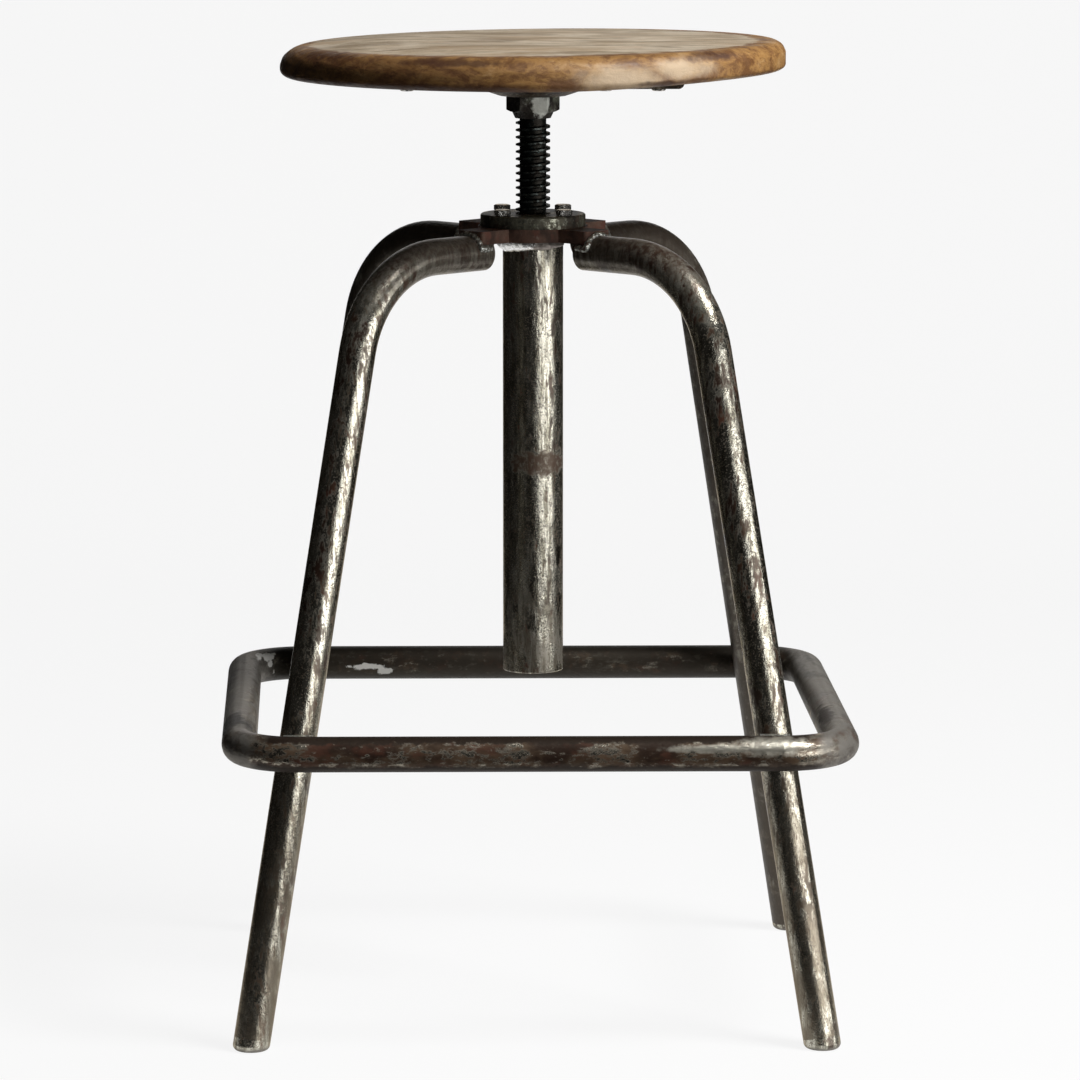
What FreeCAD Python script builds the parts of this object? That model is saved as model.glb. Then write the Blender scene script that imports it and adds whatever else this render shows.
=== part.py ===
import FreeCAD, Part
import math
import os

# Machinist stool, millimetres. Origin on the floor under the column axis, +Z up.
# The sitter's front is -Y. The four legs stand on the diagonals of the X and Y axes.

# Seat board
seat_diameter = 350.0
seat_thickness = 25.0
seat_underside_height = 643.0
seat_top_rounding = 17.0
seat_bottom_rounding = 6.0
seat_recess_depth = 9.0
seat_recess_clearance = 3.0

# Flat bar screwed under the board
strap_length = 208.0
strap_width = 40.0
strap_thickness = 8.0
strap_end_rounding = 4.0
wood_screw_places = (-87.0, -50.0, 50.0, 87.0)
wood_screw_radius = 2.5
wood_screw_depth = 17.0
wood_screw_head_radius = 5.0
wood_screw_head_height = 2.6

# Dished washer and hexagon nut that clamp the screw to the bar
dish_top_radius = 37.0
dish_bottom_radius = 23.5
dish_thickness = 5.5
seat_nut_across_flats = 32.0
seat_nut_height = 11.0
seat_nut_nose_radius = 14.6
seat_nut_nose_height = 4.6
nut_edge_rounding = 1.2

# Lift screw, one right-hand trapezoidal start
thread_diameter = 24.0
thread_pitch = 5.0
thread_depth = 2.75
thread_crest_width = 1.3
thread_root_width = 3.3
turns_down = 13
turns_up = 30
stop_gap = 1.0

# Flange that the screw turns in, and the cross plate under it
flange_diameter = 73.0
flange_thickness = 8.5
flange_edge_rounding = 1.6
thread_clearance = 0.1
bolt_circle_diameter = 60.0
bolt_radius = 3.0
bolt_hole_clearance = 0.3
bolt_head_across_flats = 10.0
bolt_head_height = 4.2
cross_plate_thickness = 9.0
cross_plate_reach = 62.0
cross_plate_arm_width = 24.0
cross_plate_centre_radius = 38.0
cross_plate_bore_clearance = 0.7
cross_plate_corner_rounding = 2.5

# Column
column_diameter = 42.0
column_wall = 3.0
column_length = 303.0
column_weld_width = 6.0
column_weld_height = 7.5

# Legs, bent from one tube each
leg_diameter = 25.0
leg_wall = 2.0
leg_bend_radius = 76.0
leg_lean_deg = 12.5
foot_spacing = 386.0
arm_inner_reach = 50.0
arm_notch_depth = 6.0
foot_plug_height = 7.5
foot_plug_rounding = 4.0
foot_plug_depth = 12.0
hub_weld_radius = 2.6
hub_weld_end_gap = 3.0

# Foot ring
ring_tube_diameter = 24.0
ring_tube_wall = 2.0
ring_height = 201.0
ring_corner_radius = 42.0
ring_leg_gap = 0.5
ring_side_gap = 17.5
ring_skew = 8.0
ring_weld_radius = 4.0
ring_weld_length = 20.0
ring_weld_offset = 7.0

# Guide bush on the lower end of the screw
guide_bush_length = 30.0
guide_bush_clearance = 0.1
guide_spigot_diameter = 16.0
guide_spigot_clearance = 0.08
guide_end_float = 0.3
guide_washer_diameter = 28.0
guide_washer_thickness = 3.0
guide_nut_across_flats = 24.0
guide_nut_height = 8.0
lock_pin_diameter = 3.0
lock_pin_length = 24.0
spigot_tail = 6.0

# Heights that follow from the sizes above
strap_underside = seat_underside_height - strap_thickness
dish_underside = strap_underside - dish_thickness
seat_nut_underside = dish_underside - seat_nut_height
thread_top = seat_nut_underside - seat_nut_nose_height
lift_down = turns_down * thread_pitch
lift_up = turns_up * thread_pitch
flange_top = thread_top - lift_down - stop_gap
flange_underside = flange_top - flange_thickness
plate_underside = flange_underside - cross_plate_thickness
column_bottom = plate_underside - column_length
arm_height = plate_underside + arm_notch_depth - leg_diameter / 2
bush_top = plate_underside - lift_up - stop_gap
bush_bottom = bush_top - guide_bush_length
thread_bottom = bush_top + guide_end_float
screw_top = seat_underside_height + seat_recess_depth - seat_recess_clearance

# Radii and directions that follow from the sizes above
thread_radius = thread_diameter / 2
root_radius = thread_radius - thread_depth
column_radius = column_diameter / 2
column_bore_radius = column_radius - column_wall
leg_radius = leg_diameter / 2
ring_tube_radius = ring_tube_diameter / 2
leg_lean = math.radians(leg_lean_deg)
foot_reach = foot_spacing / 2 * math.sqrt(2)
leg_corner_reach = foot_reach - arm_height * math.tan(leg_lean)
bend_tangent = leg_bend_radius * math.tan((math.pi / 2 - leg_lean) / 2)
leg_slope_per_side = math.tan(leg_lean) / math.sqrt(2)
leg_side_at_ring = foot_spacing / 2 - ring_height * leg_slope_per_side
leg_ring_distance = leg_radius + ring_tube_radius + ring_leg_gap
leg_flank_distance = leg_radius + ring_tube_radius + ring_side_gap
leg_lean_per_side = math.atan(leg_slope_per_side)
ring_half_depth = leg_side_at_ring + leg_ring_distance / math.cos(leg_lean_per_side)
ring_half_width = leg_side_at_ring + leg_flank_distance / math.cos(leg_lean_per_side)

leg_angles = {"rear_right": 45.0, "rear_left": 135.0, "front_left": 225.0, "front_right": 315.0}
up = FreeCAD.Vector(0, 0, 1)


def point(x, y, z):
    return FreeCAD.Vector(x, y, z)


def disc(radius, bottom, height):
    return Part.makeCylinder(radius, height, point(0, 0, bottom), up)


def turned(shape, angle):
    copy = shape.copy()
    copy.rotate(point(0, 0, 0), up, angle)
    return copy


def mirrored(shape, across_x, across_y):
    copy = shape.copy()
    if across_x:
        copy = copy.mirror(point(0, 0, 0), point(1, 0, 0))
    if across_y:
        copy = copy.mirror(point(0, 0, 0), point(0, 1, 0))
    return copy


def revolved(corners):
    outline = Part.makePolygon([point(r, 0, z) for r, z in corners] + [point(corners[0][0], 0, corners[0][1])])
    return Part.Face(outline).revolve(point(0, 0, 0), up, 360)


def hexagon(across_flats, bottom, height):
    corner_radius = across_flats / math.sqrt(3)
    corners = [point(corner_radius * math.cos(math.radians(60 * i)),
                     corner_radius * math.sin(math.radians(60 * i)), bottom) for i in range(7)]
    return Part.Face(Part.makePolygon(corners)).extrude(point(0, 0, height))


def chamfered_hexagon(across_flats, bottom, height, edge):
    # A hexagon with the corners of both faces turned off at thirty degrees or so
    corner_radius = across_flats / math.sqrt(3)
    turned_blank = revolved([(0, bottom), (corner_radius - 2 * edge, bottom),
                             (corner_radius, bottom + edge), (corner_radius, bottom + height - edge),
                             (corner_radius - 2 * edge, bottom + height), (0, bottom + height)])
    return hexagon(across_flats, bottom, height).common(turned_blank)


def circle_edges(shape, height):
    # Full circles of a shape at one height
    return [edge for edge in shape.Edges
            if isinstance(edge.Curve, Part.Circle)
            and abs(edge.BoundBox.ZMin - height) < 1e-6 and abs(edge.BoundBox.ZMax - height) < 1e-6]


def outer_circle(shape, height):
    return max(circle_edges(shape, height), key=lambda edge: edge.Curve.Radius)


def annulus(centre, direction, outer, inner):
    ring = Part.Face(Part.Wire(Part.makeCircle(outer, centre, direction)))
    return ring.cut(Part.Face(Part.Wire(Part.makeCircle(inner, centre, direction))))


def group(solids):
    return Part.makeCompound(solids)


def largest(shape):
    return max(shape.Solids, key=lambda solid: solid.Volume)


def wood_screws():
    screws = []
    for x in wood_screw_places:
        head = Part.makeCylinder(wood_screw_head_radius, wood_screw_head_height,
                                 point(x, 0, strap_underside - wood_screw_head_height), up)
        head = head.makeFillet(wood_screw_head_height * 0.6,
                               [outer_circle(head, strap_underside - wood_screw_head_height)])
        shank = Part.makeCylinder(wood_screw_radius, strap_thickness + wood_screw_depth,
                                  point(x, 0, strap_underside), up)
        tip = Part.makeCone(wood_screw_radius, 0.4, wood_screw_radius,
                            point(x, 0, seat_underside_height + wood_screw_depth), up)
        screws.append(head.fuse([shank, tip]).removeSplitter())
    return screws


def seat_board(screws):
    board = disc(seat_diameter / 2, seat_underside_height, seat_thickness)
    seat_top = seat_underside_height + seat_thickness
    board = board.makeFillet(seat_top_rounding, [outer_circle(board, seat_top)])
    board = board.makeFillet(seat_bottom_rounding, [outer_circle(board, seat_underside_height)])
    recess = disc(thread_radius + seat_recess_clearance, seat_underside_height, seat_recess_depth)
    return board.cut([recess] + screws)


def seat_strap(screws):
    strap = Part.makeBox(strap_length, strap_width, strap_thickness,
                         point(-strap_length / 2, -strap_width / 2, strap_underside))
    end_edges = [edge for edge in strap.Edges
                 if abs(edge.BoundBox.XMin) > strap_length / 2 - 1e-6
                 and edge.BoundBox.XLength < 1e-6 and edge.BoundBox.ZLength < 1e-6
                 and edge.BoundBox.ZMin < strap_underside + 1e-6]
    strap = strap.makeFillet(strap_end_rounding, end_edges)
    return strap.cut([disc(thread_radius, strap_underside, strap_thickness)] + screws)


def dish_washer():
    bevel = revolved([(thread_radius, dish_underside), (dish_bottom_radius, dish_underside),
                      (dish_top_radius, strap_underside - 1.0), (dish_top_radius, strap_underside),
                      (thread_radius, strap_underside)])
    return bevel


def seat_nut():
    nut = chamfered_hexagon(seat_nut_across_flats, seat_nut_underside, seat_nut_height, nut_edge_rounding)
    nose = Part.makeCone(thread_radius + 0.4, seat_nut_nose_radius, seat_nut_nose_height,
                         point(0, 0, thread_top), up)
    nut = nut.fuse(nose)
    return nut.cut(disc(thread_radius, thread_top, seat_nut_height + seat_nut_nose_height))


def thread_ridge(bottom, top):
    # One trapezoid carried up a helix, a little deeper than the root so that it joins the core
    sunk = 0.3
    helix = Part.makeHelix(thread_pitch, top - bottom, root_radius)
    half_crest = thread_crest_width / 2
    half_root = thread_root_width / 2
    corners = [point(root_radius - sunk, 0, -half_root), point(thread_radius, 0, -half_crest),
               point(thread_radius, 0, half_crest), point(root_radius - sunk, 0, half_root)]
    outline = Part.makePolygon(corners + [corners[0]])
    ridge = Part.Wire(helix).makePipeShell([outline], True, True)
    ridge.translate(point(0, 0, bottom))
    return Part.Solid(ridge) if ridge.ShapeType == "Shell" else ridge


def lift_screw(pin):
    core = disc(root_radius, thread_bottom, thread_top - thread_bottom)
    ridge = thread_ridge(thread_bottom + thread_root_width, thread_top - thread_root_width)
    neck = disc(thread_radius, thread_top, screw_top - thread_top)
    spigot_bottom = (bush_bottom - guide_end_float - guide_washer_thickness - guide_nut_height
                     - spigot_tail)
    spigot = disc(guide_spigot_diameter / 2, spigot_bottom, thread_bottom - spigot_bottom)
    screw = core.fuse([ridge, neck, spigot])
    return screw.cut(pin)


def guide_bush():
    bush = disc(column_bore_radius - guide_bush_clearance, bush_bottom, guide_bush_length)
    bush = bush.makeChamfer(1.0, [outer_circle(bush, bush_bottom), outer_circle(bush, bush_top)])
    return bush.cut(disc(guide_spigot_diameter / 2 + guide_spigot_clearance, bush_bottom, guide_bush_length))


def guide_washer():
    bottom = bush_bottom - guide_end_float - guide_washer_thickness
    washer = disc(guide_washer_diameter / 2, bottom, guide_washer_thickness)
    return washer.cut(disc(guide_spigot_diameter / 2, bottom, guide_washer_thickness))


def guide_nut():
    bottom = bush_bottom - guide_end_float - guide_washer_thickness - guide_nut_height
    nut = chamfered_hexagon(guide_nut_across_flats, bottom, guide_nut_height, nut_edge_rounding)
    return nut.cut(disc(guide_spigot_diameter / 2, bottom, guide_nut_height))


def lock_pin():
    nut_bottom = bush_bottom - guide_end_float - guide_washer_thickness - guide_nut_height
    height = nut_bottom - lock_pin_diameter / 2
    return Part.makeCylinder(lock_pin_diameter / 2, lock_pin_length,
                             point(-lock_pin_length / 2, 0, height), point(1, 0, 0))


def bolt_centres():
    return [(bolt_circle_diameter / 2 * math.cos(math.radians(a)),
             bolt_circle_diameter / 2 * math.sin(math.radians(a))) for a in leg_angles.values()]


def flange_bolts():
    bolts = []
    for x, y in bolt_centres():
        head = chamfered_hexagon(bolt_head_across_flats, flange_top, bolt_head_height, 0.6)
        shank = disc(bolt_radius, plate_underside, flange_top - plate_underside)
        bolt = head.fuse(shank).removeSplitter()
        bolt.translate(point(x, y, 0))
        bolts.append(bolt)
    return bolts


def bolt_holes(radius, bottom, height):
    return [Part.makeCylinder(radius, height, point(x, y, bottom), up) for x, y in bolt_centres()]


def thread_flange():
    flange = disc(flange_diameter / 2, flange_underside, flange_thickness)
    flange = flange.makeFillet(flange_edge_rounding, [outer_circle(flange, flange_top)])
    bore = disc(thread_radius + thread_clearance, flange_underside, flange_thickness)
    holes = bolt_holes(bolt_radius + bolt_hole_clearance, flange_underside, flange_thickness)
    return flange.cut([bore] + holes)


def cross_plate():
    plate = disc(cross_plate_centre_radius, plate_underside, cross_plate_thickness)
    arm = Part.makeBox(cross_plate_reach, cross_plate_arm_width, cross_plate_thickness,
                       point(0, -cross_plate_arm_width / 2, plate_underside))
    upright = [edge for edge in arm.Edges
               if edge.BoundBox.ZLength > cross_plate_thickness - 1e-6
               and edge.BoundBox.XMin > cross_plate_reach - 1e-6]
    arm = arm.makeFillet(cross_plate_corner_rounding, upright)
    plate = plate.fuse([turned(arm, angle) for angle in leg_angles.values()]).removeSplitter()
    bore = disc(thread_radius + cross_plate_bore_clearance, plate_underside, cross_plate_thickness)
    return plate.cut([bore] + bolt_holes(bolt_radius, plate_underside, cross_plate_thickness))


def column_tube():
    tube = disc(column_radius, column_bottom, column_length)
    tube = tube.makeFillet(1.0, [outer_circle(tube, column_bottom)])
    return tube.cut(disc(column_bore_radius, column_bottom, column_length))


def column_weld():
    top = plate_underside
    start = point(column_radius, 0, top - column_weld_height)
    end = point(column_radius + column_weld_width, 0, top)
    bulge = point(column_radius + column_weld_width * 0.62, 0, top - column_weld_height * 0.62)
    corner = point(column_radius, 0, top)
    outline = Part.Wire([Part.LineSegment(corner, start).toShape(), Part.Arc(start, bulge, end).toShape(),
                         Part.LineSegment(end, corner).toShape()])
    return Part.Face(outline).revolve(point(0, 0, 0), up, 360)


def leg_points():
    # Ends of the straight runs in the plane of the arm: reach from the axis, and height
    arm_end = point(leg_corner_reach - bend_tangent, 0, arm_height)
    shin_start = point(leg_corner_reach + bend_tangent * math.sin(leg_lean), 0,
                       arm_height - bend_tangent * math.cos(leg_lean))
    return point(arm_inner_reach, 0, arm_height), arm_end, shin_start


def leg_direction():
    return point(math.sin(leg_lean), 0, -math.cos(leg_lean))


def foot_length():
    # From the bend to the cut end of the tube, just above the floor
    start = leg_points()[2]
    return (start.z - foot_plug_height) / math.cos(leg_lean)


def bent_bar(outer, inner):
    arm_start, arm_end, shin_start = leg_points()
    arm = annulus(arm_start, point(1, 0, 0), outer, inner).extrude(arm_end - arm_start)
    bend_centre = point(arm_end.x, 0, arm_height - leg_bend_radius)
    bend = annulus(arm_end, point(1, 0, 0), outer, inner).revolve(bend_centre, point(0, 1, 0), 90 - leg_lean_deg)
    shin = annulus(shin_start, leg_direction(), outer, inner).extrude(leg_direction() * foot_length())
    return arm.fuse([bend, shin]).removeSplitter()


def leg():
    tube = bent_bar(leg_radius, leg_radius - leg_wall)
    notch = Part.makeBox(cross_plate_reach, leg_diameter + 2, leg_diameter,
                         point(0, -leg_radius - 1, plate_underside))
    return tube.cut(notch)


def foot_plug():
    # A round-edged plug driven into the tube's end and ground flat on the floor
    direction = leg_direction()
    tube_end = leg_points()[2] + direction * foot_length()
    button_height = (tube_end.z + leg_radius) / math.cos(leg_lean)
    button = Part.makeCylinder(leg_radius, button_height, tube_end, direction)
    floor = Part.makeBox(4 * leg_diameter, 4 * leg_diameter, 4 * leg_diameter,
                         point(tube_end.x - 2 * leg_diameter, -2 * leg_diameter, -4 * leg_diameter))
    button = button.cut(floor)
    sole = [edge for edge in button.Edges if edge.BoundBox.ZMax < 1e-6]
    low_side = foot_plug_height - leg_radius * math.sin(leg_lean)
    button = button.makeFillet(min(foot_plug_rounding, 0.85 * low_side), sole)
    spigot = Part.makeCylinder(leg_radius - leg_wall, foot_plug_depth, tube_end, direction * -1)
    return button.fuse(spigot).removeSplitter()


def hub_weld(leg_tube, plate):
    # Beads along both edges of the plate's arm, and one across its end
    beads = []
    half = cross_plate_arm_width / 2
    length = cross_plate_reach - arm_inner_reach - 2 * hub_weld_end_gap
    for side in (-1, 1):
        start = point(arm_inner_reach + hub_weld_end_gap, side * half, plate_underside)
        beads.append(Part.makeCylinder(hub_weld_radius, length, start, point(1, 0, 0)))
    end_height = arm_height + leg_radius
    beads.append(Part.makeCylinder(hub_weld_radius, half * 1.2, point(cross_plate_reach, -half * 0.6, end_height),
                                   point(0, 1, 0)))
    return group([largest(bead.cut([leg_tube, plate])) for bead in beads])


def ring_corners():
    # Front right, rear right, rear left, front left; the back rail is bent a little to the left
    shift = ring_skew / 2
    return [point(ring_half_width + shift, -ring_half_depth, ring_height),
            point(ring_half_width - shift, ring_half_depth, ring_height),
            point(-ring_half_width - shift, ring_half_depth, ring_height),
            point(-ring_half_width + shift, -ring_half_depth, ring_height)]


def foot_ring():
    outer = ring_tube_radius
    inner = ring_tube_radius - ring_tube_wall
    corners = ring_corners()
    pieces = []
    starts = []
    ends = []
    for i, corner in enumerate(corners):
        before = (corner - corners[i - 1]).normalize()
        after = (corners[(i + 1) % 4] - corner).normalize()
        turn = before.getAngle(after)
        tangent = ring_corner_radius * math.tan(turn / 2)
        start = corner - before * tangent
        centre = start + up.cross(before) * ring_corner_radius
        section = annulus(start, before, outer, inner)
        pieces.append(section.revolve(centre, up, math.degrees(turn)))
        starts.append(start)
        ends.append(corner + after * tangent)
    for i, end in enumerate(ends):
        rail = starts[(i + 1) % 4] - end
        pieces.append(annulus(end, rail, outer, inner).extrude(rail))
    return pieces[0].fuse(pieces[1:]).removeSplitter()


def ring_weld(leg_tube, ring):
    # Two beads in the crevice where the front left leg meets the rail, one above and one below
    solids = []
    for shift in (-ring_weld_offset, ring_weld_offset):
        height = ring_height + shift
        x = height * leg_slope_per_side - foot_spacing / 2
        y = leg_ring_distance / 2 - ring_half_depth
        start = point(x - ring_weld_length / 2, y, height)
        bead = Part.makeCylinder(ring_weld_radius, ring_weld_length, start, point(1, 0, 0))
        solids.append(largest(bead.cut([leg_tube, ring])))
    return group(solids)


def build():
    screws = wood_screws()
    pin = lock_pin()
    plate = cross_plate()
    ring = foot_ring()
    nodes = {
        "seat_board": seat_board(screws),
        "seat_strap": seat_strap(screws),
        "seat_screws": group(screws),
        "dish_washer": dish_washer(),
        "seat_nut": seat_nut(),
        "lift_screw": lift_screw(pin),
        "guide_bush": guide_bush(),
        "guide_washer": guide_washer(),
        "guide_nut": guide_nut(),
        "lock_pin": pin,
        "thread_flange": thread_flange(),
        "flange_bolts": group(flange_bolts()),
        "cross_plate": plate,
        "column_tube": column_tube(),
        "column_weld": column_weld(),
        "foot_ring": ring,
    }
    tube = leg()
    plug = foot_plug()
    hub_beads = hub_weld(tube, turned(plate, -leg_angles["rear_right"]))
    ring_beads = ring_weld(turned(tube, leg_angles["front_left"]), ring)
    for place, angle in leg_angles.items():
        nodes["leg_" + place] = turned(tube, angle)
        nodes["foot_plug_" + place] = turned(plug, angle)
        nodes["hub_weld_" + place] = turned(hub_beads, angle)
        nodes["ring_weld_" + place] = mirrored(ring_beads, "right" in place, "rear" in place)
    return nodes


def write(nodes):
    os.makedirs("parts", exist_ok=True)
    for name, shape in nodes.items():
        shape.exportStep(os.path.join("parts", name + ".step"))
        print(name, "solids", len(shape.Solids), "valid", shape.isValid(), "volume", round(shape.Volume, 1))


write(build())
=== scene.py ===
import math

import bpy
import numpy as np
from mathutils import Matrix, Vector


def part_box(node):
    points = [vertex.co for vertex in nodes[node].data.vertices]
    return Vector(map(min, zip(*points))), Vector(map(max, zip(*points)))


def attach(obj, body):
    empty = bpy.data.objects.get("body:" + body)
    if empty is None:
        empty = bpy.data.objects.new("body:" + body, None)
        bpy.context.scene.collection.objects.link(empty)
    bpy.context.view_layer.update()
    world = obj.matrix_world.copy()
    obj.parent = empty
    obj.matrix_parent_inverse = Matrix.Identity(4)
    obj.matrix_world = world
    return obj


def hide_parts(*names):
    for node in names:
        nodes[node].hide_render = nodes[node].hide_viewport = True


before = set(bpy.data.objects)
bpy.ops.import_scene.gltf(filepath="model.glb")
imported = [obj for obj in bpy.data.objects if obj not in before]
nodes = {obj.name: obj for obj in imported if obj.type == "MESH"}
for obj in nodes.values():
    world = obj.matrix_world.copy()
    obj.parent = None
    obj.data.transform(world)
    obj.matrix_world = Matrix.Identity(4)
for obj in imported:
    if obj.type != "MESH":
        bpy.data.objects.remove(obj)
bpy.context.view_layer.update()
scene = bpy.context.scene
print("frame loaded:", len(nodes), "CAD nodes")


view = {
    "position": (-0.0557, -4.0517, 0.9109),
    "yaw": 0.01495,
    "pitch": -0.14512,
    "lens": 195.28,
    "sensor": 36,
    "clip": (0.1, 60),
}

camera = bpy.data.objects.new("camera", bpy.data.cameras.new("camera"))
scene.collection.objects.link(camera)
camera.location = view["position"]
camera.rotation_euler = (math.pi / 2 + view["pitch"], 0, -view["yaw"])
camera.data.sensor_width = view["sensor"]
camera.data.lens = view["lens"]
camera.data.clip_start, camera.data.clip_end = view["clip"]
scene.camera = camera
scene.view_settings.view_transform = "Standard"

corners = ("front_left", "front_right", "rear_left", "rear_right")


def newMaterial(name):
    material = bpy.data.materials.new(name)
    material.use_nodes = True
    tree = material.node_tree
    return material, tree, tree.nodes["Principled BSDF"]


def put(tree, socket, value):
    # A socket is linked, anything else becomes the input's own value
    if isinstance(value, bpy.types.NodeSocket):
        tree.links.new(value, socket)
    elif hasattr(socket.default_value, "__len__") and len(socket.default_value) == 4:
        socket.default_value = (*value, 1.0)[:4]
    else:
        socket.default_value = value


def objectPlace(tree):
    return tree.nodes.new("ShaderNodeTexCoord").outputs["Object"]


def stretched(tree, vector, scale, shift=(0, 0, 0)):
    node = tree.nodes.new("ShaderNodeMapping")
    put(tree, node.inputs["Vector"], vector)
    node.inputs["Scale"].default_value = scale
    node.inputs["Location"].default_value = shift
    return node.outputs["Vector"]


def noise(tree, vector, size, detail, roughness=0.55, distortion=0.0):
    # size is the width of a typical blotch, in metres
    node = tree.nodes.new("ShaderNodeTexNoise")
    put(tree, node.inputs["Vector"], vector)
    node.inputs["Scale"].default_value = 1 / size
    node.inputs["Detail"].default_value = detail
    node.inputs["Roughness"].default_value = roughness
    node.inputs["Distortion"].default_value = distortion
    return node.outputs["Fac"]


def between(tree, value, low, high, toLow=0.0, toHigh=1.0, smooth=True):
    node = tree.nodes.new("ShaderNodeMapRange")
    node.interpolation_type = "SMOOTHSTEP" if smooth else "LINEAR"
    put(tree, node.inputs["Value"], value)
    node.inputs["From Min"].default_value = low
    node.inputs["From Max"].default_value = high
    node.inputs["To Min"].default_value = toLow
    node.inputs["To Max"].default_value = toHigh
    return node.outputs["Result"]


def patches(tree, vector, size, detail, roughness, low, high, toLow=0.0, toHigh=1.0):
    # Noise cut off softly between two levels
    return between(tree, noise(tree, vector, size, detail, roughness), low, high, toLow, toHigh)


def calc(tree, operation, first, second=0.0):
    node = tree.nodes.new("ShaderNodeMath")
    node.operation = operation
    put(tree, node.inputs[0], first)
    put(tree, node.inputs[1], second)
    return node.outputs[0]


def ragged(tree, place, value, grain, amount, detail=5, roughness=0.65):
    # The value, pushed up and down by noise through this amount in all
    offset = calc(tree, "SUBTRACT", noise(tree, place, grain, detail, roughness), 0.5)
    return calc(tree, "ADD", value, calc(tree, "MULTIPLY", offset, amount))


def blend(tree, factor, first, second, kind="RGBA"):
    node = tree.nodes.new("ShaderNodeMix")
    node.data_type = kind
    put(tree, node.inputs["Factor"], factor)
    put(tree, node.inputs["A"], first)
    put(tree, node.inputs["B"], second)
    return node.outputs["Result"]


def along(tree, vector, axis):
    node = tree.nodes.new("ShaderNodeSeparateXYZ")
    put(tree, node.inputs[0], vector)
    return node.outputs[axis]


def lengthOf(tree, vector):
    node = tree.nodes.new("ShaderNodeVectorMath")
    node.operation = "LENGTH"
    put(tree, node.inputs[0], vector)
    return node.outputs["Value"]


def fromAxis(tree, place):
    # Distance from the column's axis
    return lengthOf(tree, stretched(tree, place, (1.0, 1.0, 0.0)))


def spot(tree, place, centre, halfSize, uneven, grain, soft=0.15):
    # 1 inside a blotch with these half sizes, 0 outside it. Its edge sways by noise, up to twice the
    # uneven share of its size either way
    offset = tree.nodes.new("ShaderNodeVectorMath")
    offset.operation = "SUBTRACT"
    put(tree, offset.inputs[0], place)
    offset.inputs[1].default_value = centre
    scaled = stretched(tree, offset.outputs["Vector"], tuple(1 / s for s in halfSize))
    edge = ragged(tree, place, lengthOf(tree, scaled), grain, uneven * 4, 4, 0.6)
    return between(tree, edge, 1 - soft, 1 + soft, 1.0, 0.0)


def spots(tree, place, blotches, uneven, grain, soft=0.15):
    # blotches: pairs of centre and half sizes; the mask is 1 inside any of them
    total = 0.0
    for centre, halfSize in blotches:
        total = calc(tree, "MAXIMUM", spot(tree, place, centre, halfSize, uneven, grain, soft), total)
    return total


def bumped(tree, shader, heights):
    # heights: pairs of height socket and depth in metres
    normal = None
    for height, depth in heights:
        node = tree.nodes.new("ShaderNodeBump")
        node.inputs["Strength"].default_value = 1.0
        node.inputs["Distance"].default_value = depth
        put(tree, node.inputs["Height"], height)
        if normal is not None:
            put(tree, node.inputs["Normal"], normal)
        normal = node.outputs["Normal"]
    put(tree, shader.inputs["Normal"], normal)


def wear(material, *names):
    for name in names:
        mesh = nodes[name].data
        mesh.materials.clear()
        mesh.materials.append(material)


patina = {
    "skinRange": (0.35, 0.65),
    "warmRange": (0.50, 0.62),
    "layerShares": (0.30, 0.45, 0.25),
    "bareRange": (0.58, 0.65),
    "wearShift": 0.16,
    "pitRange": (0.34, 0.44),
    "brightRange": (0.4, 0.6),
    "rubSize": 0.6,
}


def agedSteel(name, finish, marks=()):
    # Bare metal shows through a dark, dull skin where clouds, grime and rubs add up to enough.
    # A mark is a mask maker with the colour, metallic and roughness that it lays over both
    material, tree, shader = newMaterial(name)
    place = objectPlace(tree)
    drawn = stretched(tree, place, finish["drawn"])
    rubbed = stretched(tree, place, finish["rubbed"], (0.3, 0.1, 0.7))
    cloud = noise(tree, drawn, finish["cloud"], 4, 0.55, 0.3)
    grime = noise(tree, drawn, finish["grime"], 7, 0.68, 0.2)
    pits = noise(tree, place, finish["pit"], 3, 0.6)
    rubs = noise(tree, rubbed, finish["grime"] * patina["rubSize"], 5, 0.65)

    skin = blend(tree, between(tree, cloud, *patina["skinRange"]), finish["dark"], finish["skin"])
    warmPlace = stretched(tree, drawn, (1, 1, 1), (0.9, 0.4, 0.2))
    warmth = patches(tree, warmPlace, finish["cloud"], 4, 0.6, *patina["warmRange"], 0.0, finish["warmth"])
    skin = blend(tree, warmth, skin, finish["warm"])
    bare = 0.0
    for layer, share in zip((cloud, grime, rubs), patina["layerShares"]):
        bare = calc(tree, "ADD", bare, calc(tree, "MULTIPLY", layer, share))
    bareLow, bareHigh = (edge - finish["wear"] * patina["wearShift"] for edge in patina["bareRange"])
    bare = between(tree, bare, bareLow, bareHigh)
    sunk = between(tree, pits, *patina["pitRange"], finish["pitting"], 0.0)
    bare = calc(tree, "MULTIPLY", bare, calc(tree, "SUBTRACT", 1.0, sunk))
    metal = blend(tree, between(tree, rubs, *patina["brightRange"]), finish["metal"], finish["bright"])
    colour = blend(tree, bare, skin, metal)
    metallic = between(tree, bare, 0.0, 1.0, finish["skinMetal"], 1.0, smooth=False)
    roughness = between(tree, bare, 0.0, 1.0, finish["rough"][1], finish["rough"][0], smooth=False)

    for makeMask, markColour, markMetal, markRough in marks:
        mask = makeMask(tree, place)
        colour = blend(tree, mask, colour, markColour)
        metallic = blend(tree, mask, metallic, markMetal, "FLOAT")
        roughness = blend(tree, mask, roughness, markRough, "FLOAT")

    put(tree, shader.inputs["Base Color"], colour)
    put(tree, shader.inputs["Metallic"], metallic)
    put(tree, shader.inputs["Roughness"], roughness)
    shader.inputs["IOR"].default_value = finish["ior"]
    shader.inputs["Specular Tint"].default_value = (*finish["edgeTint"], 1.0)
    bumped(tree, shader, list(zip((cloud, grime, pits), finish["relief"])))
    return material


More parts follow.
